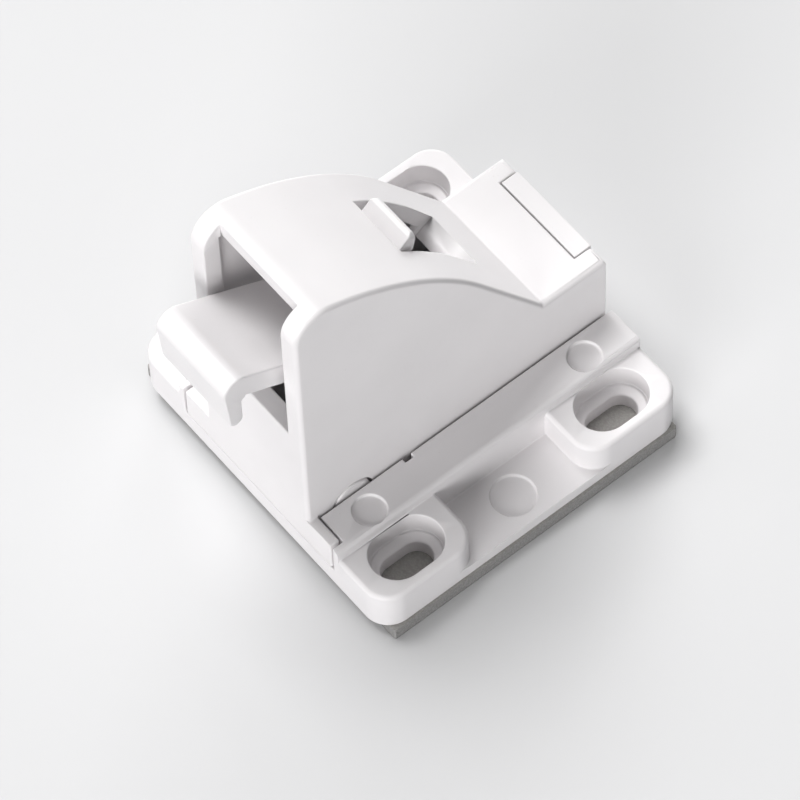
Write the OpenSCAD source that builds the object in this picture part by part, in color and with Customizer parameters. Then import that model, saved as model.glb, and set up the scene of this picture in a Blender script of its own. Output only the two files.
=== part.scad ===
// Cabinet safety lock: a sprung hook lever in an arched housing on a four-slot base plate.
// X runs from the mouth (negative) to the back, Y across, Z up from the mounting surface.
// The origin is the centre of the adhesive pad's lower face. All lengths are in millimetres.

/* [Adhesive pad] */
// Inset of the foam pad from the base plate's front and back
pad_inset = 1.35; // [0.5:0.05:3]
// Amount that the foam pad stands out at each side of the base plate
pad_over = 0.3; // [0:0.1:1]
// Thickness of the foam pad
pad_t = 2; // [1:0.1:3]

/* [Base plate] */
// Length of the base plate, front to back
base_l = 45.6; // [44.6:0.1:50]
// Width of the base plate
base_w = 46.4; // [44.6:0.1:52]
// Radius of the base plate's outer corners in plan
corner_r = 3.4; // [2:0.1:5]
// Thickness of the plate between the feet
plate_t = 1.9; // [1.5:0.1:3]
// Thickness of the plate under the housing
well_t = 1.4; // [1:0.1:1.8]
// Height of the four feet above the pad
foot_h = 6.3; // [5:0.1:7]
// Length of each foot
foot_l = 14.55; // [13:0.05:16]
// Radius of each foot's inner corner in plan
foot_r = 3.4; // [1:0.1:4]
// Height of the two side rails above the pad
rail_h = 8; // [7.6:0.1:9]
// Width of each side rail
rail_w = 5.2; // [4.6:0.1:6]
// Rounding along the upper edges of the feet and rails
edge_r = 0.6; // [0.2:0.1:0.8]

/* [Screw slots] */
// Distance of each slot's centre from the plate's front or back edge
slot_in_x = 7.3; // [6.4:0.1:7.8]
// Distance of each slot's centre from the plate's side
slot_in_y = 4.7; // [4.2:0.1:5]
// Width of the through slot
slot_w = 4.1; // [3:0.1:5]
// Width of the recess for the screw head
head_w = 6.8; // [5.6:0.1:7]
// Straight run of the slot between its two end centres
slot_run = 2.8; // [1:0.1:4]
// Height of the screw head's seat above the pad
seat_h = 2.4; // [2:0.1:4]
// Depth of the dish round the screw head's seat
dish_d = 0.6; // [0.2:0.1:1]

/* [Housing] */
// Width of the housing over its side walls
shell_w = 19; // [18:0.1:21]
// Thickness of the side walls
side_t = 1.9; // [1.7:0.1:2.2]
// Thickness of the front wall
front_t = 2.4; // [2:0.1:3]
// Thickness of the roof
roof_t = 2; // [1.6:0.1:2.2]
// Radius of the arched roof
arch_r = 45.9; // [44:0.1:48]
// Slope of the straight ramp behind the arch, in degrees
ramp_a = 56.6; // [54:0.1:58]
// Length of the straight ramp
ramp_l = 16.1; // [14:0.1:18]
// Radius between the front wall and the arch
brow_r = 3.8; // [2.6:0.1:5]
// Height of the flat rear block above the pad
block_h = 19; // [18.6:0.1:21]
// Length of the flat rear block
block_l = 9.5; // [8.5:0.1:10.5]
// Gap behind the housing to the end of the base plate
back_gap = 0.6; // [0.2:0.1:1]
// Rounding along the housing's side edges
shell_r = 0.6; // [0.4:0.1:1.6]
// Rounding along the rear block's upper edges
block_r = 0.8; // [0.2:0.1:1]
// Gap between the housing and the base plate's rails
seam = 0.3; // [0.15:0.05:0.4]

/* [Mouth] */
// Width of the mouth
mouth_w = 13.7; // [13.4:0.1:14]
// Height of the mouth's lower edge above the pad
sill_h = 25; // [24:0.1:29]
// Width of the front flange that drops into the base plate
flange_w = 27.2; // [25:0.1:28]
// Thickness of the front flange
flange_t = 1.4; // [1:0.1:1.6]
// Depth of the front flange below the rails
flange_d = 4.9; // [3:0.1:5]

/* [Latch lever] */
// Width of the lever
lever_w = 12.4; // [12:0.1:12.8]
// Thickness of the lever
lever_t = 3.4; // [2.6:0.1:3.8]
// Reach of the hook in front of the housing
hook_reach = 7.75; // [6:0.05:10]
// Height of the hook's upper bend above the pad
hook_h = 39.8; // [38:0.1:42]
// Outer radius of the hook's bend
hook_r = 2; // [1.6:0.1:2.6]
// Depth of the lip below the hook's bend
lip_d = 7; // [5:0.1:8]
// Thickness of the lip
lip_t = 2.4; // [1.8:0.1:2.6]
// Radius inside the hook's bend
hook_in = 1.2; // [0.4:0.1:1.6]
// Slope of the lever's front limb, in degrees
limb_a = 30.2; // [28:0.1:32]

/* [Pivot and spring] */
// Distance of the pivot behind the housing's front face
pivot_x = 14.9; // [13.5:0.1:16]
// Height of the pivot above the pad
pivot_h = 24.5; // [23.5:0.1:25.5]
// Diameter of the pivot pin
pin_d = 3; // [2:0.1:3.2]
// Radial running clearance of the lever on its pin
run_gap = 0.05; // [0.02:0.01:0.1]
// Mean diameter of the return spring
spring_d = 4.4; // [4:0.1:5.2]
// Diameter of the spring wire
wire_d = 0.5; // [0.3:0.05:0.7]
// Number of turns of the return spring
spring_turns = 7; // [4:1:9]
// Distance of the spring in front of the magnet's cup
spring_front = 5.9; // [5:0.1:7]
// Height of the lever's spring seat above the housing floor
spring_room = 13.1; // [11:0.1:14]

/* [Magnet] */
// Diameter of the magnet
magnet_d = 9.5; // [8:0.1:10]
// Thickness of the magnet
magnet_t = 5; // [3:0.1:5.2]
// Thickness of the magnet's cap
cap_t = 1.5; // [1:0.1:1.6]
// Wall of the cup round the magnet
cup_wall = 1.2; // [0.8:0.1:1.4]
// Gap between the magnet's cup and the rear wall
magnet_back = 0.25; // [0.1:0.05:1]

/* [Switch] */
// Length of the switch window along the arch
window_l = 8.95; // [8:0.05:9.4]
// Width of the switch window
window_w = 8.6; // [8:0.1:9.4]
// Width of the button
button_w = 6.9; // [5:0.1:7.4]
// Offset of the button toward the near side of the window
button_off = 0.55; // [0:0.05:0.6]
// Length of the button along its travel
button_l = 2.5; // [2.2:0.1:3.2]
// Height of the button above the arch
button_h = 2; // [1:0.1:2.2]
// Travel of the switch
switch_travel = 3.6; // [2:0.1:3.6]
// Length of the finger ramp behind the window
scoop_l = 6.5; // [5:0.1:7]
// Slope of the finger ramp against the switch track, in degrees
scoop_a = 9.6; // [6:0.1:10]
// Distance of the hold-open bar in front of the magnet's centre
bar_front = 5.4; // [4.6:0.1:5.8]
// Height of the hold-open bar above the magnet's cup
bar_rise = 4.3; // [4:0.1:4.6]

/* [Rear cover] */
// Width of the rear cover
cover_w = 13.4; // [12:0.1:13.6]
// Thickness of the rear cover
cover_t = 2.5; // [2.2:0.1:2.8]
// Clearance round the rear cover
cover_gap = 0.15; // [0.1:0.05:0.3]

/* [Hidden] */
$fn = 48;

// Levels of the base plate
z_base = pad_t;
z_plate = z_base + plate_t;
z_well = z_base + well_t;
z_foot = z_base + foot_h;
z_rail = z_base + rail_h;
z_seat = z_base + seat_h;

// Plan positions of the base plate
x_end = base_l / 2;
y_end = base_w / 2;
pad_l = base_l - 2 * pad_inset;
pad_w = base_w + 2 * pad_over;
slot_x = x_end - slot_in_x;
slot_y = y_end - slot_in_y;
well_w = shell_w + 2 * seam;
rail_in = well_w / 2;
rail_out = rail_in + rail_w;
foot_in = x_end - foot_l;
well_front = -x_end + front_t;

// Side outline of the housing
x_front = -x_end;
x_back = x_end - back_gap;
block_x = x_back - block_l;
block_root = 6;
z_block = z_base + block_h;
ramp_t = [cos(ramp_a), -sin(ramp_a)];
ramp_n = [sin(ramp_a), cos(ramp_a)];
ramp_top = [block_x, z_block] - ramp_l * ramp_t;
arch_c = ramp_top - arch_r * ramp_n;
brow_x = x_front + brow_r;
brow_z = arch_c[1] + sqrt(pow(arch_r - brow_r, 2) - pow(brow_x - arch_c[0], 2));
brow_end = atan2(brow_z - arch_c[1], brow_x - arch_c[0]);
arch_end = 90 - ramp_a;

// Flange and mouth
z_flange = z_rail - flange_d;
flange_gap = 0.4;
sill_z = z_base + sill_h;

// Inner faces of the housing
cavity_w = shell_w - 2 * side_t;
cover_front = x_back - cover_t;
cavity_back = cover_front - cover_gap;
bridge_h = 2.6;
tongue_drop = 2.4;
z_bridge = z_well + bridge_h;

// Pivot, spring and magnet positions
piv = [x_front + pivot_x, z_base + pivot_h];
boss_r = pin_d / 2 + 1.9;
boss_gap = 0.3;
pin_seat = 1.2;
pin_l = cavity_w + 2 * pin_seat - 0.1;
groove_w = 0.86 * pin_d;
magnet_gap = 0.05;
cup_r = magnet_d / 2 + magnet_gap + cup_wall;
magnet_x = cavity_back - magnet_back - cup_r;
spring_x = magnet_x - cup_r - spring_front;
spring_seat_z = z_well + spring_room;
cup_top = z_block - roof_t - 1.8;
cup_roof = 1.5;
magnet_top = cup_top - cup_roof;
cup_bottom = magnet_top - magnet_t - cap_t;
stop_gap = 0.2;
stop_r = 2;

// Lever outline: hook bend, knee behind the pivot and rear limb
limb_t = [cos(limb_a), -sin(limb_a)];
limb_n = [sin(limb_a), cos(limb_a)];
bend = [x_front - hook_reach + hook_r, z_base + hook_h];
knee_x = piv[0] - 5;
knee = [knee_x, bend[1] + (hook_r - lever_t / 2) / cos(limb_a) - (knee_x - bend[0]) * tan(limb_a)];
heel = [spring_x + spring_d / 2 + 0.8, spring_seat_z + 2];
tail = [magnet_x - cup_r + 1, cup_top - lever_t / 2 - 0.4];

// Hold-open bar on the lever and the switch finger that meets it
bar_r = 0.5;
bar = [magnet_x - bar_front, cup_top + bar_rise];
bar_foot = bar_rise + 0.7;
cheek_in = 1.6;
cheek_t = 1.1;
finger_w = 2;
finger_t = 0.9;

// Switch track: a straight guide tangent to the arch at the middle of its travel
track_a = 46.5;
track = arch_c + arch_r * [sin(track_a), cos(track_a)];
track_t = [cos(track_a), -sin(track_a)];
track_n = [sin(track_a), cos(track_a)];
window_u = -3.35;
button_u = window_u + 0.15;
scoop_u = window_u + window_l + scoop_l;
scoop_w = (ramp_top - track) * track_n
    - (scoop_u - (ramp_top - track) * track_t) * tan(ramp_a - track_a);
tray_top = -roof_t - 0.9;
tray_t = 1.4;
tray_l = 6.9;
tray_w = cavity_w - 0.6;
guide_in = 6.2;
guide_t = 1.1;

// Moulded marks and clips
mark_r = 2.1;
mark_d = 0.4;
mark_x = x_end - 6.6;
mark_y = (rail_in + rail_out) / 2 + 0.3;
mid_mark_r = 2.8;
clip_x = [x_front + 10.9, x_back - 12.3];
clip_l = 3.4;
clip_out = 0.6;
clip_z = z_well + 1.6;
clip_hgt = 1.4;
clip_gap = 0.2;
pry_r = 3;
pry_x = x_front + 6.7;
pry_z = z_rail - 1.5;
pry_d = 0.9;
pry_w = 0.35;
relief_x = x_front + 14.4;

eps = 0.01;

// Places a plane outline drawn in X and Z across the part
module across(w) rotate([90, 0, 0]) linear_extrude(w, center = true) children();

// Places a plane outline drawn in Y and Z along the part
module lengthwise(l) rotate([90, 0, 90]) linear_extrude(l, center = true) children();

// Repeats its children in the four corners
module corners() for (sx = [0, 1]) for (sy = [0, 1]) mirror([sx, 0, 0]) mirror([0, sy, 0]) children();

// Repeats its children on both sides
module sides() for (sy = [0, 1]) mirror([0, sy, 0]) children();

// Moves into the frame of the switch track: X along the travel, Z out of the arch
module on_track() translate([track[0], 0, track[1]]) rotate([0, track_a, 0]) children();

// Thick line through a list of points, with mitred corners
function heading(a, b) = (b - a) / norm(b - a);
function side(d) = [-d[1], d[0]];
function miter(p, i) =
    let (n = len(p) - 1,
         a = side(heading(p[max(i - 1, 0)], p[max(i, 1)])),
         b = side(heading(p[min(i, n - 1)], p[min(i + 1, n)])))
    (a + b) / (1 + a * b);
function thick(p, t) = concat([for (i = [0 : len(p) - 1]) p[i] + miter(p, i) * t / 2],
                              [for (i = [len(p) - 1 : -1 : 0]) p[i] - miter(p, i) * t / 2]);

// Side outline of the arched body, drawn in by a distance on every side but the bottom
module arch_outline(e) {
    intersection() {
        translate(arch_c) circle(arch_r - e, $fn = 280);
        translate([brow_x, z_well]) square([ramp_top[0] - brow_x, z_base + arch_r + block_h]);
    }
    translate([brow_x, brow_z]) circle(brow_r - e);
    translate([x_front + e, z_well]) square([brow_r, brow_z - z_well]);
    polygon([[brow_x - 1, z_well], [block_x, z_well], [block_x, z_block - e / cos(ramp_a)],
             ramp_top - e * ramp_n, arch_c + [brow_x - arch_c[0], 8]]);
}

// Upright outline of a length and a height, with its far upper corner rounded
module eased(l, h, r) {
    square([l, h - r]);
    square([l - r, h]);
    translate([l - r, h - r]) circle(r);
}

// Foot with a rounded upper edge: a middle, two strips beside it and two turned corners
module foot() {
    root = rail_out - 1;
    translate([foot_in + foot_r, root, z_base]) rotate([90, 0, 90])
        linear_extrude(foot_l - foot_r - corner_r) eased(y_end - root, foot_h, edge_r);
    translate([foot_in + foot_r, y_end - foot_r, z_base]) {
        rotate([90, 0, 0]) linear_extrude(y_end - foot_r - root)
            mirror([1, 0]) eased(foot_r, foot_h, edge_r);
        rotate([0, 0, 90]) rotate_extrude(angle = 90) eased(foot_r, foot_h, edge_r);
    }
    translate([x_end - corner_r, y_end - corner_r, z_base]) {
        rotate([90, 0, 0]) linear_extrude(y_end - corner_r - root)
            eased(corner_r, foot_h, edge_r);
        rotate_extrude(angle = 90) eased(corner_r, foot_h, edge_r);
    }
}

// Cross-section of one rail, with its outer upper edge rounded
module rail_section() {
    translate([rail_in, z_base]) square([rail_w - edge_r, rail_h]);
    translate([rail_in, z_base]) square([rail_w, rail_h - edge_r]);
    translate([rail_out - edge_r, z_rail - edge_r]) circle(edge_r);
}

// Slot with round ends along X, as a solid to cut with
module slot(w, h) {
    for (s = [-1, 1]) translate([s * slot_run / 2, 0, 0]) cylinder(d = w, h = h);
    translate([-slot_run / 2, -w / 2, 0]) cube([slot_run, w, h]);
}

module screw_slots() {
    corners() translate([slot_x, slot_y, 0]) {
        translate([0, 0, z_base - 1]) slot(slot_w, foot_h + 2);
        translate([0, 0, z_seat + dish_d]) slot(head_w, foot_h);
        // Dished ledge between the two slots
        for (s = [-1, 1]) translate([s * slot_run / 2, 0, z_seat])
            cylinder(d1 = slot_w, d2 = head_w, h = dish_d + eps);
        lengthwise(slot_run) polygon([
            [-slot_w / 2, z_seat], [slot_w / 2, z_seat],
            [head_w / 2, z_seat + dish_d + eps], [-head_w / 2, z_seat + dish_d + eps]]);
    }
}

module plate_plan() {
    square([base_l - 2 * corner_r, base_w], center = true);
    square([base_l, base_w - 2 * corner_r], center = true);
    corners() translate([x_end - corner_r, y_end - corner_r]) circle(corner_r);
}

// Recess for the housing's lower edge, open at the back
module well() {
    translate([well_front, -rail_in, z_well]) cube([base_l, well_w, rail_h + 1]);
    translate([x_front - 1, -rail_in, z_flange - clip_gap])
        cube([front_t + 1 + eps, well_w, rail_h]);
    translate([x_front - 1, -flange_w / 2 - flange_gap, z_flange - clip_gap])
        cube([flange_t + clip_gap + 1, flange_w + 2 * flange_gap, rail_h]);
}

// Pockets that hold the housing's clips, and the relief notch beside each rail
module clip_pockets() {
    sides() for (x = clip_x)
        translate([x - clip_l / 2 - clip_gap, rail_in - 1, clip_z - clip_gap])
            cube([clip_l + 2 * clip_gap, 1 + clip_out, clip_hgt + 2 * clip_gap]);
    sides() translate([relief_x - 0.6, rail_in - 1, clip_z])
        cube([1.2, 1.6, rail_h]);
}

module ejector_marks() {
    corners() translate([mark_x, mark_y, z_rail - mark_d])
        cylinder(r = mark_r, h = 1);
    sides() translate([0, (rail_out + y_end) / 2, z_plate - mark_d])
        cylinder(r = mid_mark_r, h = 1);
}

module adhesive_pad() {
    color("whitesmoke") translate([-pad_l / 2, -pad_w / 2, 0]) cube([pad_l, pad_w, pad_t]);
}

module base_plate() {
    color("white") {
        difference() {
            union() {
                translate([0, 0, z_base]) linear_extrude(plate_t) plate_plan();
                corners() foot();
                sides() lengthwise(base_l) rail_section();
                translate([x_front, -rail_in - eps, z_base])
                    cube([front_t, well_w + 2 * eps, z_flange - clip_gap - z_base]);
            }
            well();
            screw_slots();
            clip_pockets();
            ejector_marks();
        }
        // Post that centres the return spring
        translate([spring_x, 0, z_well - eps]) cylinder(d = spring_d - wire_d - 0.7, h = 2.4);
    }
}

// Section through the skin with its two outer corners rounded; X points out of the surface
module skin_section(depth) {
    translate([-depth, -shell_w / 2]) square([depth - shell_r, shell_w]);
    translate([-depth, -shell_w / 2 + shell_r]) square([depth, shell_w - 2 * shell_r]);
    for (s = [-1, 1]) translate([-shell_r, s * (shell_w / 2 - shell_r)]) circle(shell_r, $fn = 20);
}

// Turns the skin about a centre of the side outline, between two angles above the X axis
module skin_turn(c, r, depth, a0, a1) {
    translate([c[0], 0, c[1]]) rotate([90, 0, 0]) rotate([0, 0, a0])
        rotate_extrude(angle = a1 - a0, $fn = 140) translate([r, 0]) skin_section(depth);
}

// Arched body: a core as wide as the housing, under a skin swept along the side outline
module arch_body() {
    across(shell_w) arch_outline(1.6);
    translate([x_front, 0, z_well]) rotate([0, 0, 180])
        linear_extrude(brow_z - z_well) skin_section(3);
    skin_turn([brow_x, brow_z], brow_r, 3, brow_end, 180);
    skin_turn(arch_c, arch_r, 3, arch_end, brow_end);
    translate([block_x, 0, z_block] + [ramp_t[0], 0, ramp_t[1]]) rotate([0, ramp_a - 90, 0])
        linear_extrude(ramp_l + 1) skin_section(3);
}

// Flat rear block with its upper edges rounded
module rear_block() {
    intersection() {
        translate([block_x - block_root, 0, z_well]) rotate([90, 0, 0])
            linear_extrude(shell_w, center = true) eased(block_l + block_root, z_block - z_well, block_r);
        translate([0, 0, z_well]) rotate([90, 0, 90]) linear_extrude(3 * base_l, center = true)
            for (s = [0, 1]) mirror([s, 0]) translate([-eps, 0])
                eased(shell_w / 2 + eps, z_block - z_well, block_r);
    }
}

module cavity() {
    across(cavity_w) {
        intersection() {
            arch_outline(roof_t);
            translate([well_front, 0]) square([base_l, z_block + arch_r]);
        }
        translate([well_front, 0]) square([block_x - well_front + eps, z_well + 2]);
        translate([block_x - 5, 0]) square([cavity_back - block_x + 5, z_block - roof_t]);
    }
}

module clips() {
    sides() for (x = clip_x) translate([x, 0, 0]) lengthwise(clip_l)
        polygon([[shell_w / 2 - 0.5, clip_z], [shell_w / 2 - 0.5, clip_z + clip_hgt],
                 [shell_w / 2 + clip_out, clip_z + clip_hgt], [shell_w / 2, clip_z]]);
}

// Seats for the pivot pin, each with a groove so that the pin snaps in from below
module pin_bosses() {
    sides() translate([piv[0], cavity_w / 2 + 0.1, piv[1]]) rotate([90, 0, 0])
        cylinder(r = boss_r, h = (cavity_w - lever_w) / 2 - boss_gap + 0.1);
}

module pin_seats() {
    translate([piv[0], 0, piv[1]]) rotate([90, 0, 0])
        cylinder(d = pin_d + 0.02, h = cavity_w + 2 * pin_seat, center = true);
    sides() translate([piv[0] - groove_w / 2, lever_w / 2, 0])
        cube([groove_w, (cavity_w - lever_w) / 2 + pin_seat, piv[1]]);
}

// Ledges that carry the switch under the roof
module switch_guides() {
    sides() on_track() translate([-8.5, guide_in, tray_top - tray_t - 0.2 - guide_t])
        cube([14, cavity_w / 2 - guide_in + 0.1, guide_t]);
}

// Rib under the roof that thickens the rear edge of the window
module window_rib() {
    on_track() translate([window_u + window_l - 0.5, -window_w / 2 - 0.6, -roof_t - 1.2])
        cube([3.1, window_w + 1.2, 1]);
}

// Window through the roof, and the finger ramp that climbs out of it to the rear
module switch_window() {
    from = window_u + window_l - 1;
    end = scoop_u + 1;
    on_track() {
        translate([window_u, -window_w / 2, -roof_t - 3]) cube([window_l, window_w, roof_t + 6]);
        across(window_w) polygon([[from, scoop_w + (from - scoop_u) * tan(scoop_a)],
                                  [end, scoop_w + (end - scoop_u) * tan(scoop_a)], [end, 3], [from, 3]]);
    }
}

module cover_opening() {
    translate([cavity_back - eps, -cover_w / 2 - cover_gap, z_bridge])
        cube([cover_t + 2, cover_w + 2 * cover_gap, z_block]);
    translate([cover_front + cover_t / 3 - 0.1, -cover_w / 2 - 1.05, z_bridge])
        cube([cover_t / 3 + 0.2, cover_w + 2.1, z_block - tongue_drop + 0.2 - z_bridge]);
}

// Arched groove round the small tongue at each side wall's lower edge
module pry_grooves() {
    sides() translate([pry_x, shell_w / 2 - pry_d, pry_z]) rotate([-90, 0, 0]) difference() {
        cylinder(r = pry_r, h = 2);
        translate([0, 0, -1]) cylinder(r = pry_r - pry_w, h = 4);
    }
}

module housing() {
    color("white") difference() {
        union() {
            difference() {
                union() {
                    arch_body();
                    rear_block();
                }
                translate([0, 0, -eps]) cavity();
            }
            translate([x_front, -flange_w / 2, z_flange]) cube([flange_t, flange_w, flange_d]);
            clips();
            pin_bosses();
            switch_guides();
            window_rib();
        }
        // The front wall stops above the plate, where only the flange passes
        translate([x_front - 1, -shell_w, 0])
            cube([front_t + 1 + clip_gap, 2 * shell_w, z_flange]);
        // The mouth runs up through the brow to the front end of the roof
        translate([x_front - 1, -mouth_w / 2, sill_z])
            cube([front_t + 1.3, mouth_w, arch_r]);
        pin_seats();
        switch_window();
        cover_opening();
        pry_grooves();
    }
}

module rear_cover() {
    color("white") {
        translate([cover_front, -cover_w / 2, z_bridge])
            cube([cover_t, cover_w, z_block - z_bridge]);
        // Tongues at both ends, out of sight below the top
        translate([cover_front + cover_t / 3, -cover_w / 2 - 0.8, z_bridge])
            cube([cover_t / 3, cover_w + 1.6, z_block - tongue_drop - z_bridge]);
    }
}

module pivot_pin() {
    color("silver") translate([piv[0], 0, piv[1]]) rotate([90, 0, 0])
        cylinder(d = pin_d, h = pin_l, center = true);
}

// Rings of one unbroken helix of round wire
spring_sides = 6;
spring_rings = spring_turns * 14;
spring_z0 = z_well + wire_d / 2;
spring_z1 = spring_seat_z - wire_d / 2 - 0.1;
function coil(k) =
    let (s = k / spring_rings, a = 360 * spring_turns * s)
    [spring_d / 2 * cos(a), spring_d / 2 * sin(a), spring_z0 + (spring_z1 - spring_z0) * s];
function coil_ring(k) =
    let (a = 360 * spring_turns * k / spring_rings)
    [for (j = [0 : spring_sides - 1])
        let (b = 360 * j / spring_sides, r = wire_d / 2 * cos(b))
        coil(k) + [r * cos(a), r * sin(a), wire_d / 2 * sin(b)]];

module return_spring() {
    n = spring_sides;
    points = [for (k = [0 : spring_rings]) each coil_ring(k)];
    walls = [for (k = [0 : spring_rings - 1]) for (j = [0 : n - 1])
        each [[k * n + j, (k + 1) * n + j, (k + 1) * n + (j + 1) % n],
              [k * n + j, (k + 1) * n + (j + 1) % n, k * n + (j + 1) % n]]];
    first = [for (j = [1 : n - 2]) [0, j, j + 1]];
    last = [for (j = [1 : n - 2]) [spring_rings * n, spring_rings * n + j + 1, spring_rings * n + j]];
    color("silver") translate([spring_x, 0, 0])
        polyhedron(points, concat(walls, first, last), convexity = 10);
}

// Hook: the front limb bends over its nose and ends in a rounded lip
module hook_outline() {
    nose = bend;
    inner = nose[0] - hook_r + lip_t;
    under = nose[1] - hook_r;
    tip_r = lip_t / 2 - 0.25;
    tip = [inner - tip_r, nose[1] - lip_d + tip_r];
    translate(nose) circle(hook_r);
    polygon([nose + [-hook_r, 0], [inner, nose[1]], tip + [tip_r, 0], tip - [tip_r, 0]]);
    translate(tip) circle(tip_r);
    polygon([nose + hook_r * limb_n, nose + (hook_r - lever_t) * limb_n,
             [inner, under], nose + [-hook_r, 0]]);
    // Fillet inside the bend
    difference() {
        translate([inner - 0.2, under - hook_in]) square([hook_in + 0.2, hook_in + 0.1]);
        translate([inner + hook_in, under - hook_in]) circle(hook_in);
    }
}

module lever_outline() {
    hook_outline();
    polygon(thick([bend + (hook_r - lever_t / 2) * limb_n, knee, heel, tail], lever_t));
    translate(piv) circle(boss_r + 0.3);
    polygon([piv + [-boss_r, 0], piv + [boss_r, 0], knee + [9, -6.4], knee + [1, -1]]);
}

// Small bracket that holds the hold-open bar clear of the lever
module hold_bracket() {
    sides() translate([bar[0], cheek_in + cheek_t / 2, 0]) across(cheek_t) {
        translate(bar) translate([-bar[0], 0]) circle(bar_r + 0.35);
        polygon([[-bar_r - 0.35, bar[1]], [bar_r + 0.35, bar[1]], [1.6, bar[1] - bar_foot], [-1.2, bar[1] - bar_foot]]);
    }
    translate([bar[0], 0, bar[1]]) rotate([90, 0, 0])
        cylinder(r = bar_r, h = 2 * cheek_in + cheek_t, center = true);
}

module latch_lever() {
    color("white") difference() {
        union() {
            across(lever_w) lever_outline();
            hold_bracket();
            translate([spring_x, 0, spring_seat_z]) cylinder(d = spring_d + wire_d + 0.9, h = 3);
            translate([magnet_x, 0, cup_bottom]) cylinder(r = cup_r, h = cup_top - cup_bottom);
            translate([magnet_x, 0, cup_top - eps])
                cylinder(r = stop_r, h = z_block - roof_t - stop_gap - cup_top + eps);
        }
        translate([piv[0], 0, piv[1]]) rotate([90, 0, 0])
            cylinder(d = pin_d + 2 * run_gap, h = lever_w + 2, center = true);
        translate([magnet_x, 0, cup_bottom - 1])
            cylinder(d = magnet_d + 2 * magnet_gap, h = magnet_top - cup_bottom + 1);
    }
}

module latch_magnet() {
    color("dimgray") translate([magnet_x, 0, magnet_top - magnet_t])
        cylinder(d = magnet_d, h = magnet_t);
}

module magnet_cap() {
    color("white") translate([magnet_x, 0, cup_bottom]) cylinder(d = magnet_d, h = cap_t);
}

// Button: upright in front and sloped behind, as the intersection of its two outlines
module switch_button() {
    top = button_h;
    foot = tray_top - 0.1;
    c = 0.5;
    translate([0, -button_off, 0]) intersection() {
        translate([button_u, 0, 0]) across(button_w) polygon([
            [0, foot], [0, 0], [0.1, top - c], [0.45, top], [1, top], [1.35, top - 0.3],
            [button_l, 0], [button_l, foot]]);
        lengthwise(3 * window_l) polygon([
            [-button_w / 2, foot], [-button_w / 2, top - c], [-button_w / 2 + c, top],
            [button_w / 2 - c, top], [button_w / 2, top - c], [button_w / 2, foot]]);
    }
}

// Finger that holds the lever released: its tip ends over the lever's bar
finger_tip = bar + [-0.3, -0.75] - switch_travel * track_t;
finger_top = track + (button_u + 1.35) * track_t + (tray_top - tray_t / 2) * track_n;

module switch_finger() {
    across(finger_w) {
        polygon([finger_top + [-1, -1], finger_top + [1, 0.6], finger_tip + [0, 0],
                 finger_tip + [0, -finger_t], finger_tip + [-2 * finger_t, -finger_t]]);
    }
}

module switch_slider() {
    color("white") {
        on_track() {
            switch_button();
            translate([button_u + button_l - tray_l, -tray_w / 2, tray_top - tray_t])
                cube([tray_l, tray_w, tray_t]);
        }
        switch_finger();
    }
}

adhesive_pad();
base_plate();
housing();
rear_cover();
pivot_pin();
return_spring();
latch_lever();
latch_magnet();
magnet_cap();
switch_slider();
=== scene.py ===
# %% [markdown]
# # A cabinet safety lock, dressed for its photograph
#
# The lock is a small white moulding: a base plate on a foam pad, an arched housing, and a sprung
# lever whose hook looks out of the mouth. The CAD model gives every form and every joint. This
# script adds what a CAD model leaves out: soft moulded edges, the grain of the plastic, a cut
# foam pad, light and a camera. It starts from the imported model, which is never moved or reshaped.

# %% Load the frame
import math

import bmesh
import bpy
from mathutils import Matrix, Vector, geometry
from mathutils.bvhtree import BVHTree


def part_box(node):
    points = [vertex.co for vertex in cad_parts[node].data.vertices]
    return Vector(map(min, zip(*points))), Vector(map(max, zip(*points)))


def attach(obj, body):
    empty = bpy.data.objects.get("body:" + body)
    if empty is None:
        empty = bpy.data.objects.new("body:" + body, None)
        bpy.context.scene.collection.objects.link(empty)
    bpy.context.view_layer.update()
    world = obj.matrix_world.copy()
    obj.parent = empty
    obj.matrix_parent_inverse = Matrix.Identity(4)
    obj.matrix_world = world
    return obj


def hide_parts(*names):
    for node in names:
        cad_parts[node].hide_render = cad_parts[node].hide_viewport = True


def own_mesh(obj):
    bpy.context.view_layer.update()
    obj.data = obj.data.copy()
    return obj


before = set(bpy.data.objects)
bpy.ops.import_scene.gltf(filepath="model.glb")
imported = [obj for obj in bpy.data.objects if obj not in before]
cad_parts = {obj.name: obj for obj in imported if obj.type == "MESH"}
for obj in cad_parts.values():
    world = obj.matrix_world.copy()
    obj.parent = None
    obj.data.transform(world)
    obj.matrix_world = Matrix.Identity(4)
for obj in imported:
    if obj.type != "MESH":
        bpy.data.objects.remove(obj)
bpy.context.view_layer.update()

# %% [markdown]
# ## Camera
#
# The photograph looks down on the near front corner with a long lens, so upright edges stay
# nearly parallel. A camera is easiest to place by what it looks at: an aim point, a compass
# angle round the object, a height angle, a distance and a small roll. The lens is the long one
# that gives the photograph's perspective, and depth of field stays off.

# %% Place the camera
MM = 0.001
AIM = Vector((-6.895, -7.089, 17.569)) * MM
AZIMUTH, ELEVATION, ROLL = (math.radians(a) for a in (-36.64, 59.14, -2.79))
DISTANCE = 701.37 * MM

camera_data = bpy.data.cameras.new("photo_camera")
camera_data.lens = 273.285
camera_data.sensor_width = 36
camera_data.clip_start = 0.05
camera_data.clip_end = 20
camera = bpy.data.objects.new("photo_camera", camera_data)
bpy.context.scene.collection.objects.link(camera)
bpy.context.scene.camera = camera

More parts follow.
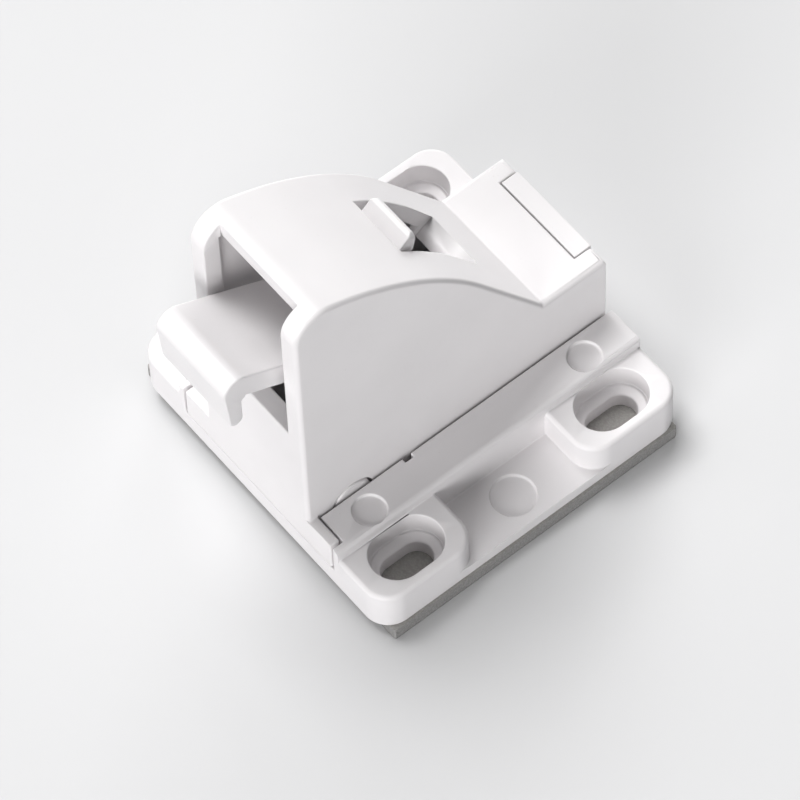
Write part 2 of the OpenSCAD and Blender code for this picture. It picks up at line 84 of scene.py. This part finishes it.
back_to_camera = Vector((math.sin(AZIMUTH) * math.cos(ELEVATION),
                         -math.cos(AZIMUTH) * math.cos(ELEVATION), math.sin(ELEVATION)))
turn = back_to_camera.to_track_quat("Z", "Y").to_matrix() @ Matrix.Rotation(ROLL, 3, "Z")
camera.matrix_world = Matrix.Translation(AIM + back_to_camera * DISTANCE) @ turn.to_4x4()
print("camera stands at", tuple(round(v / MM) for v in camera.location), "mm")

# %% [markdown]
# ## Shader maths as plain expressions
#
# A procedural material is mostly arithmetic on masks. Written node by node that is long and hard
# to read, so a small class wraps one socket and gives it the usual operators. An expression such
# as `1 - mask * 0.4` then adds its own Math nodes. Colours and vectors never go through Math
# nodes, which would turn them grey. Every other node comes from one method.

# %% A socket that can be added and multiplied
class Socket:
    def __init__(self, shader, socket):
        self.shader, self.socket = shader, socket

    def math(self, operation, *others, flip=False):
        values = [self, *others]
        if flip:
            values.reverse()
        return self.shader.node("ShaderNodeMath", {"operation": operation}, *values)

    def __add__(self, other): return self.math("ADD", other)
    def __radd__(self, other): return self.math("ADD", other, flip=True)
    def __sub__(self, other): return self.math("SUBTRACT", other)
    def __rsub__(self, other): return self.math("SUBTRACT", other, flip=True)
    def __mul__(self, other): return self.math("MULTIPLY", other)
    def __lt__(self, other): return self.math("LESS_THAN", other)
    def max(self, other): return self.math("MAXIMUM", other)


# %% One method that makes any node
class Shader:
    def __init__(self, name, owner=None):
        """Works on a new material, or on the world that is given."""
        self.owner = owner or bpy.data.materials.new(name)
        self.owner.use_nodes = True
        self.tree = self.owner.node_tree
        self.tree.nodes.clear()

    def node(self, kind, settings=None, *values, out=0, **named):
        """Adds a node. Settings come first, then values or links for its sockets in order or by
        name. Gives the wanted output as a Socket."""
        made = self.tree.nodes.new(kind)
        for key, value in (settings or {}).items():
            setattr(made, key, value)
        pairs = list(zip(made.inputs, values))
        pairs += [(made.inputs[key.replace("_", " ")], value) for key, value in named.items()]
        for socket, value in pairs:
            self.set(socket, value)
        return Socket(self, made.outputs[out]) if made.outputs else None

    def set(self, socket, value):
        if isinstance(value, Socket):
            self.tree.links.new(value.socket, socket)
        elif value is not None:
            socket.default_value = value

    def place(self, scale=1.0, move=(0, 0, 0), stretch=(1, 1, 1)):
        """Object coordinates in metres, scaled."""
        here = self.node("ShaderNodeTexCoord", None, out="Object")
        size = tuple(scale * s for s in stretch)
        return self.node("ShaderNodeMapping", None, here, move, (0, 0, 0), size)

    def noise(self, size, detail=2.0, roughness=0.5, move=(0, 0, 0), stretch=(1, 1, 1)):
        """Noise whose features are about size metres across, from 0 to 1."""
        where = self.place(1 / size, move, stretch)
        return self.node("ShaderNodeTexNoise", None, Vector=where, Scale=1.0, Detail=detail,
                         Roughness=roughness)

    def fit(self, value, low, high, to_low=0.0, to_high=1.0):
        """Maps a value from one range to another, and holds it at the ends."""
        return self.node("ShaderNodeMapRange", {"clamp": True}, value, low, high, to_low, to_high)

    def mix(self, factor, a, b):
        """Mixes two colours. The Mix node's colour sockets are its inputs 6 and 7."""
        made = self.tree.nodes.new("ShaderNodeMix")
        made.data_type = "RGBA"
        for place, value in ((0, factor), (6, a), (7, b)):
            self.set(made.inputs[place], value)
        return Socket(self, made.outputs[2])

    def bump(self, height, depth, strength=1.0, normal=None):
        """Bump of a 0 to 1 height that is depth metres deep."""
        return self.node("ShaderNodeBump", None, Height=height, Distance=depth,
                         Strength=strength, Normal=normal)

    def finish(self, **named):
        """Principled surface with these sockets, as the material's output."""
        surface = self.node("ShaderNodeBsdfPrincipled", None, **named)
        self.node("ShaderNodeOutputMaterial", None, surface)
        print("finish", self.owner.name, len(self.tree.nodes), "nodes")
        return self.owner


# %% [markdown]
# ## Shapes from bmesh
#
# Every shape here is made or changed with bmesh operators and then turned into an object. Two
# small helpers do what repeats: one makes a box from its low and high corners, and one puts a
# finished shape into the scene with its origin at zero, in the part's own frame. A CAD node
# comes as loose triangles, which share no edge that a bevel could find. So a third merges a
# copy's doubled corners and joins its triangles into whole flat faces.

# %% Make a box and an object
def box_shape(low, high):
    shape = bmesh.new()
    bmesh.ops.create_cube(shape, size=1)
    bmesh.ops.scale(shape, verts=shape.verts, vec=high - low)
    bmesh.ops.translate(shape, verts=shape.verts, vec=(high + low) / 2)
    return shape


def as_object(name, shape):
    mesh = bpy.data.meshes.new(name)
    shape.to_mesh(mesh)
    shape.free()
    made = bpy.data.objects.new(name, mesh)
    bpy.context.scene.collection.objects.link(made)
    return made


# %% Merge a mesh's triangles
SAME_PLACE = 1e-6
SAME_PLANE = math.radians(0.1)


def merged(mesh):
    """A copy of a mesh whose doubled corners are one."""
    shape = bmesh.new()
    shape.from_mesh(mesh)
    bmesh.ops.remove_doubles(shape, verts=shape.verts, dist=SAME_PLACE)
    return shape


def flat_faces(mesh):
    """A merged copy whose triangles are joined into whole flat faces."""
    shape = merged(mesh)
    before = len(shape.faces)
    bmesh.ops.dissolve_limit(shape, angle_limit=SAME_PLANE, verts=shape.verts,
                             edges=shape.edges, use_dissolve_boundaries=False)
    print("  joined", before, "triangles into", len(shape.faces), "faces")
    return shape


# %% [markdown]
# ## Soft edges on the mouldings
#
# No moulded plastic edge is truly sharp: the cutter that made the mould left a radius of a
# fifth of a millimetre or so, and that thin round is what catches the light. The CAD model keeps
# its edges crisp, so a copy of each moulding gets a bevel on its sharp edges.
#
# Where many short edges meet, there is no room for the round, and a bevel throws spikes or folds
# over. Letting Blender clamp the width would shrink every round to that of the tightest corner.
# So the bevel is tried, and its result is measured against the shape it was made on. Edges near
# a fault stay sharp in the next try: the short ones first, and the long ones only if the fault
# is still there.

# %% Find where a bevel went wrong
STRAY_SHARE = 0.6
FACING_SAME_WAY = 0.1
SMALLEST_AREA = (0.01 * MM) ** 2


def strayed(surface, made, radius):
    """Places where a bevel left the shape it was made on, or folded over."""
    places = []
    for vert in made.verts:
        near, _, _, gap = surface.find_nearest(vert.co)
        if gap > STRAY_SHARE * radius:
            places += [near, *(e.other_vert(vert).co.copy() for e in vert.link_edges)]
    for face in made.faces:
        if face.calc_area() > SMALLEST_AREA:
            middle = face.calc_center_median()
            if surface.find_nearest(middle)[1].dot(face.normal) < FACING_SAME_WAY:
                places.append(middle)
    return places


def beside(edge, places, reach):
    """Whether an edge passes within reach of one of the places."""
    a, b = (v.co for v in edge.verts)
    for place in places:
        near, along = geometry.intersect_point_line(place, a, b)
        near = a if along < 0 else b if along > 1 else near
        if (near - place).length < reach:
            return True
    return False


# %% Round the edges that have room
SHARP_ANGLE = math.radians(28)
ROUND_STEPS = 3
TRIES, SHORT_EDGE_TRIES = 7, 3
SHORT_EDGE = 4


def bevelled(shape, radius):
    """Rounds the sharp edges, and leaves those that are too crowded for the radius."""
    surface = BVHTree.FromBMesh(shape)
    sharp = [e.index for e in shape.edges
             if len(e.link_faces) == 2 and e.calc_face_angle(0) > SHARP_ANGLE]
    shape.edges.ensure_lookup_table()
    crowded = set()
    for attempt in range(TRIES):
        for index in crowded:
            shape.edges[index].smooth = False
        made = shape.copy()
        made.edges.ensure_lookup_table()
        bmesh.ops.bevel(made, geom=[made.edges[i] for i in sharp if i not in crowded],
                        offset=radius, offset_type="OFFSET", affect="EDGES",
                        segments=ROUND_STEPS, profile=0.5, clamp_overlap=False, material=-1,
                        loop_slide=True)
        places = strayed(surface, made, radius)
        if attempt == TRIES - 1 or not places:
            break
        made.free()
        longest = SHORT_EDGE * radius if attempt < SHORT_EDGE_TRIES else math.inf
        reach = radius * (1 + 0.5 * attempt)
        crowded |= {i for i in sharp if i not in crowded
                    and shape.edges[i].calc_length() < longest
                    and beside(shape.edges[i], places, reach)}
    shape.free()
    print("  rounded", len(sharp) - len(crowded), "edges, left", len(crowded), "sharp,",
          len(places), "stray places remain")
    return made


# %% [markdown]
# ## The window behind the switch
#
# The photograph shows a longer window than the CAD model has: behind the button the opening
# runs on to an upright rear wall, where the model has a shallow ramp for the finger. A boolean
# corrects the copy of the housing. One block first fills the room under the ramp, so that the
# rear wall has something to be cut in, and a second block then cuts the opening. Both are given
# along the switch's track, which slopes down the arch.

# %% Make the window's two blocks
TRACK = (Matrix.Translation(Vector((-1.204, 0, 40.77)) * MM)
         @ Matrix.Rotation(math.radians(46.5), 4, "Y"))


def track_block(name, low, high):
    """Block whose corners are in mm along, across and square to the switch's track."""
    shape = box_shape(Vector(low) * MM, Vector(high) * MM)
    bmesh.ops.transform(shape, verts=shape.verts, matrix=TRACK)
    return as_object(name, shape)


WINDOW_END = 14.3
HALF_WIDTH = 4.3
wall_block = track_block("wall_block", (13.2, -5.2, -5.0), (15.6, 5.2, -3.2))
window_block = track_block("window_block", (4.5, -HALF_WIDTH, -7.0), (WINDOW_END, HALF_WIDTH, 2.5))
print("window ends", WINDOW_END, "mm behind the track's middle,", 2 * HALF_WIDTH, "mm wide")


# %% Cut a block out, or join it on
def worked(shape, block, operation):
    holder = as_object("work", shape)
    change = holder.modifiers.new("work", "BOOLEAN")
    change.object, change.operation, change.solver = block, operation, "EXACT"
    bpy.context.view_layer.update()
    done = bpy.data.meshes.new_from_object(
        holder.evaluated_get(bpy.context.evaluated_depsgraph_get()))
    for spent in (holder, block):
        bpy.data.objects.remove(spent)
    return done


# %% [markdown]
# ## Six mouldings
#
# Each moulding is copied, worked where it needs it, rounded, and put in its node's place on the
# body that carries it. The radii run from 0.12 mm on the thin rear cover to 0.25 mm on the
# lever. A weighted normal then lets the big flat faces keep their flat shading right up to the
# round.

# %% Put a soft copy in a node's place
def softened(name, body, radius, work=()):
    shape = flat_faces(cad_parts[name].data)
    for block, operation in work:
        shape = flat_faces(worked(shape, block, operation))
    made = bevelled(shape, radius)
    bmesh.ops.triangulate(made, faces=[f for f in made.faces if len(f.verts) > 4])
    for face in made.faces:
        face.smooth = True
    piece = as_object(name.replace("_", " ").title().replace(" ", "") + "_soft", made)
    even = piece.modifiers.new("even_shading", "WEIGHTED_NORMAL")
    even.weight, even.keep_sharp = 60, True
    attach(piece, body)
    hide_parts(name)
    print(name, len(piece.data.polygons), "faces, rounded by", round(radius / MM, 2), "mm")
    return piece


# %% Round the mouldings' edges
base = softened("base_plate", "lock_body", 0.18 * MM)
housing = softened("housing", "lock_body", 0.22 * MM,
                   work=((wall_block, "UNION"), (window_block, "DIFFERENCE")))
cover = softened("rear_cover", "lock_body", 0.12 * MM)
lever = softened("latch_lever", "latch", 0.25 * MM)
slider = softened("switch_slider", "switch", 0.15 * MM)
cap = softened("magnet_cap", "latch", 0.15 * MM)

# %% [markdown]
# ## Foam pad
#
# The pad is die-cut from a sheet of closed-cell foam with adhesive on both faces. A cut foam
# side isn't flat: the knife leaves it slightly hollow, and the cells stand out as tiny pits. A
# box is made, its upright corners are rounded a little, its sides are divided finely, and each
# side vertex is moved by a small noise that is the same on every run.

# %% Cut the pad
from mathutils import noise as field

CORNER, RIM = 0.35 * MM, 0.25 * MM
HOLLOW, PIT_DEPTH, PIT_SIZE = 0.10 * MM, 0.05 * MM, 0.5 * MM
LONG_EDGE, LONG_CUTS, TALL_CUTS = 20 * MM, 110, 6


def upright_edges(shape, height):
    return [e for e in shape.edges if abs(e.verts[0].co.z - e.verts[1].co.z) > height / 2]


def outward(out, size):
    """Direction square to the nearest side: a share just over a half rounds to 1 there."""
    return Vector((round(2 * out.x / size.x * 0.5001), round(2 * out.y / size.y * 0.5001), 0))


def cut_pad(name, low, high):
    shape = box_shape(low, high)
    middle, size = (low + high) / 2, high - low
    bmesh.ops.bevel(shape, geom=upright_edges(shape, size.z), offset=CORNER, affect="EDGES",
                    segments=3, profile=0.5, material=-1)
    rims = [f for f in shape.faces if abs(f.normal.z) > 0.9]
    bmesh.ops.inset_region(shape, faces=rims, thickness=RIM, use_even_offset=True)
    sides = [e for e in shape.edges if e.calc_length() > LONG_EDGE]
    bmesh.ops.subdivide_edges(shape, edges=sides, cuts=LONG_CUTS, use_grid_fill=False)
    bmesh.ops.subdivide_edges(shape, edges=upright_edges(shape, size.z), cuts=TALL_CUTS,
                              use_grid_fill=True)
    for vert in shape.verts:
        level = (vert.co.z - low.z) / size.z
        way = outward(vert.co - middle, size)
        if 0.02 < level < 0.98 and way.length:
            waist = HOLLOW * math.sin(math.pi * level)
            rough = PIT_DEPTH * field.noise(vert.co / PIT_SIZE)
            vert.co -= way.normalized() * (waist - rough)
    for face in shape.faces:
        face.smooth = abs(face.normal.z) < 0.5
    made = as_object(name, shape)
    print(name, len(made.data.polygons), "faces")
    return made


pad_low, pad_high = (Vector(v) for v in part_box("adhesive_pad"))
pad = cut_pad("FoamPad", pad_low, pad_high)
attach(pad, "lock_body")
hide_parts("adhesive_pad")

# %% [markdown]
# ## White moulded plastic
#
# The mouldings are white ABS from a finely etched mould. Four things make it look moulded and
# not painted: a faint grain a tenth of a millimetre across, a slow waviness where the wall
# shrank, a gloss that wanders a little with them, and the least trace of handling. All four are
# noises on Object coordinates, at real sizes. The white itself is just short of full white, so
# that the lamps can still model it.

# %% White plastic
GRAIN, SHRINKAGE, HANDLING, SPECK = 0.11 * MM, 9 * MM, 2.4 * MM, 0.35 * MM
DUST = (0.55, 0.53, 0.5, 1)


def white_plastic(name, tone, gloss, seed):
    shade = Shader(name)
    shift = (seed * 3.1, seed * 1.7, seed * 5.3)
    etch = shade.noise(GRAIN, 3, 0.6, shift)
    sink = shade.noise(SHRINKAGE, 2, 0.5, shift)
    smear = shade.noise(HANDLING, 4, 0.6, shift, stretch=(1, 1, 0.35))
    specks = shade.noise(SPECK, 1, 0.4, shift)
    handled = shade.fit(smear, 0.55, 0.75)
    dust = shade.fit(specks, 0.76, 0.80)
    sunk = shade.fit(sink, 0.3, 0.7)
    darker = tuple(c * 0.965 for c in tone)
    colour = shade.mix(sunk, (*tone, 1), (*darker, 1))
    colour = shade.mix(dust * 0.18, colour, DUST)
    rough = gloss + (etch - 0.5) * 0.10 + handled * 0.06 - sunk * 0.04
    swell = shade.bump(sink, 0.05 * MM, 0.35)
    normal = shade.bump(etch, 0.004 * MM, 0.6, swell)
    return shade.finish(Base_Color=colour, Roughness=rough, Normal=normal, IOR=1.53,
                        Specular_IOR_Level=0.3)


# %% Give each moulding its plastic
WHITE = (0.80, 0.78, 0.786)
BASE_WHITE = (0.79, 0.77, 0.777)
LEVER_WHITE = (0.78, 0.762, 0.768)
PLASTICS = ((housing, "housing_white", WHITE, 0.42), (base, "base_white", BASE_WHITE, 0.44),
            (cover, "cover_white", WHITE, 0.40), (lever, "lever_white", LEVER_WHITE, 0.38),
            (slider, "slider_white", WHITE, 0.36), (cap, "cap_white", WHITE, 0.45))
for seed, (piece, name, tone, gloss) in enumerate(PLASTICS, start=1):
    piece.data.materials.append(white_plastic(name, tone, gloss, seed))

# %% [markdown]
# ## Foam
#
# Closed-cell foam looks chalky. Its cut cells are a quarter of a millimetre across. The sides are
# painted darker than the plastic and than the pad's own top, which only the screw slots show: that
# is painted shade on the pad's flanks. A Voronoi pattern gives the cells; it drives the bump, and
# it also darkens the colour between the cells, which is painted shade in the pits.

# %% Foam material
CELL = 0.28 * MM
foam = Shader("closed_cell_foam")
cells = foam.node("ShaderNodeTexVoronoi", {"feature": "F1"}, Vector=foam.place(1 / CELL),
                  Scale=1.0, Randomness=1.0)
# One mask makes the pits of the bump and also darkens the colour in them, which is painted shade.
cell_pits_and_pit_shade = foam.fit(cells, 0.1, 0.75)
blotch = foam.fit(foam.noise(3 * MM, 3), 0.35, 0.7)
# The top's colour is darker between the cells: painted shade in the pits.
top = foam.mix(cell_pits_and_pit_shade, (0.42, 0.41, 0.395, 1), (0.33, 0.32, 0.305, 1))
top = foam.mix(blotch * 0.4, top, (0.38, 0.37, 0.355, 1))
# The sides' colour is darker than the top's: painted shade on the pad's flanks.
painted_shade_side = foam.mix(cell_pits_and_pit_shade, (0.32, 0.315, 0.31, 1), (0.24, 0.235, 0.23, 1))
height = foam.node("ShaderNodeSeparateXYZ", None, foam.place(), out="Z")
# Below the top face the darker side colour is used: painted shade on the flanks.
foam_colour_and_painted_shade = foam.mix(height < pad_high.z - 0.03 * MM, top, painted_shade_side)
pad.data.materials.append(foam.finish(Base_Color=foam_colour_and_painted_shade, Roughness=0.92 - cell_pits_and_pit_shade * 0.08,
                                      Normal=foam.bump(1 - cell_pits_and_pit_shade, 0.06 * MM, 0.7)))

# %% [markdown]
# ## Hidden metal
#
# The pin, the spring and the magnet are seen only through the mouth, from below, or when the
# lever turns. They still get real finishes: a ground pin with fine rings round it, drawn wire
# with marks along the coil, and a bright nickel plate with a faint orange-peel.

# %% Steel and nickel
TOOL_MARK, STAIN = 0.09 * MM, 1.6 * MM


def metal(name, tone, gloss, stretch, depth):
    shade = Shader(name)
    marks = shade.noise(TOOL_MARK, 4, 0.65, stretch=stretch)
    stain = shade.noise(STAIN, 3, 0.5)
    darker = tuple(c * 0.82 for c in tone)
    colour = shade.mix(shade.fit(stain, 0.35, 0.75), (*tone, 1), (*darker, 1))
    return shade.finish(Base_Color=colour, Metallic=1.0,
                        Roughness=gloss + marks * 0.16 + shade.fit(stain, 0.4, 0.8) * 0.08,
                        Normal=shade.bump(marks, depth, 0.5))


def dress(node, material):
    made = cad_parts[node]
    made.data.materials.clear()
    made.data.materials.append(material)


dress("pivot_pin", metal("ground_steel", (0.56, 0.56, 0.57), 0.22, (1, 8, 1), 0.003 * MM))
dress("latch_magnet", metal("nickel_plate", (0.62, 0.61, 0.59), 0.16, (1, 1, 1), 0.002 * MM))

# %% [markdown]
# ## The spring
#
# When the lever turns, its seat comes down on the spring. The real coil closes up along its
# length, and its foot stays where it is. Here a smooth copy of the coil stands for the CAD node,
# with a mesh of its own on the lock body; its length doesn't change. The real coil also leans a
# little with its seat, which isn't shown either.

# %% Wind the spring
coil = merged(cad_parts["return_spring"].data)
for face in coil.faces:
    face.smooth = True
spring = as_object("ReturnSpring_coil", coil)
spring.data.materials.append(
    metal("drawn_wire", (0.50, 0.50, 0.51), 0.28, (1, 1, 3), 0.004 * MM))
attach(spring, "lock_body")
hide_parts("return_spring")
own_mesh(spring)

# %% [markdown]
# ## Floor and backdrop
#
# The photograph is a plain studio shot: a pale grey sweep with no edge. One large plane does
# this. Its colour to the camera is set apart from its colour to the light, so that the ground
# can be as pale as the photograph's without throwing more light on the object. Gloss and glass
# see the same backdrop as the camera does.

# %% Tell which rays see the backdrop
def backdrop_rays(shade):
    """1 for a ray that shows the backdrop, and 0 for one that only carries light."""
    camera_ray, glossy, glass = (
        shade.node("ShaderNodeLightPath", None, out="Is " + kind + " Ray")
        for kind in ("Camera", "Glossy", "Transmission"))
    return camera_ray.max(glossy).max(glass)


# %% Lay the floor
FLOOR_HALF, FLOOR_DROP = 3.0, 0.1 * MM
PAPER_LIT, PAPER_SEEN = (0.60, 0.60, 0.61, 1), (0.67, 0.67, 0.675, 1)
sheet = bmesh.new()
bmesh.ops.create_grid(sheet, x_segments=1, y_segments=1, size=FLOOR_HALF)
bmesh.ops.translate(sheet, verts=sheet.verts, vec=(0, 0, -FLOOR_DROP))
floor = as_object("studio_floor", sheet)
ground = Shader("studio_paper")
paper = ground.mix(backdrop_rays(ground), PAPER_LIT, PAPER_SEEN)
floor.data.materials.append(ground.finish(Base_Color=paper, Roughness=0.9))

# %% [markdown]
# ## Light
#
# The photograph's shadow is soft and falls to the lower right, the tops and the front are nearly
# white, and the near side is a light grey. That takes large boxes. A high one beyond the far
# side lights the tops and throws the shadow, and a smaller one nearer and lower helps it. Two
# low ones, in front of the mouth and beyond the far rear corner, light the upright faces, and a
# weak fill on the near side keeps it from going dark. Each lamp was rendered alone, and the
# powers were weighed so that their sum came near the photograph's tones. The last corrections
# came from comparing the tones of small patches in the render and in the photograph.

# %% Set the lamps
LIGHT_AIM = Vector((0, 0, 0.02))
LAMPS = (("high_box", 105, 68, 2.8, (1.3, 1.3), 48), ("back_box", 90, 55, 1.4, (0.9, 0.9), 7.6),
         ("rear_side_box", 45, 15, 2.8, (1.3, 1.3), 34),
         ("front_box", 208, 15, 2.8, (1.7, 1.3), 62), ("near_fill", 270, 55, 1.4, (0.9, 0.9), 2.4))


def from_way(azimuth, elevation, distance):
    """A place at this distance, at these angles from the X axis and the floor."""
    a, e = math.radians(azimuth), math.radians(elevation)
    return Vector((distance * math.cos(e) * math.cos(a), distance * math.cos(e) * math.sin(a),
                   distance * math.sin(e)))


for name, azimuth, elevation, distance, size, power in LAMPS:
    lamp = bpy.data.lights.new(name, "AREA")
    lamp.shape = "RECTANGLE"
    lamp.size, lamp.size_y = size
    lamp.energy = power
    box = bpy.data.objects.new(name, lamp)
    bpy.context.scene.collection.objects.link(box)
    spot = from_way(azimuth, elevation, distance)
    facing = (spot - LIGHT_AIM).to_track_quat("Z", "Y").to_matrix().to_4x4()
    box.matrix_world = Matrix.Translation(spot) @ facing
    print(name, power, "W, from", azimuth, "degrees round and", elevation, "up")

# %% [markdown]
# ## World
#
# The floor ends far out, and the world goes on in the same pale grey for the rays that show it.
# To the light it is nearly dark, so that the lamps alone model the lock. The Standard view shows
# a colour about as it is written.

# %% Fill in the world
WORLD_LIGHT, WORLD_SEEN = (0.035, 0.035, 0.035, 1), (0.87, 0.87, 0.875, 1)
world = bpy.data.worlds.new("studio_world")
bpy.context.scene.world = world
sky = Shader("studio_world", world)
glow = sky.node("ShaderNodeBackground", None,
                Color=sky.mix(backdrop_rays(sky), WORLD_LIGHT, WORLD_SEEN))
sky.node("ShaderNodeOutputWorld", None, glow)
bpy.context.scene.view_settings.view_transform = "Standard"
print("world", len(sky.tree.nodes), "nodes")
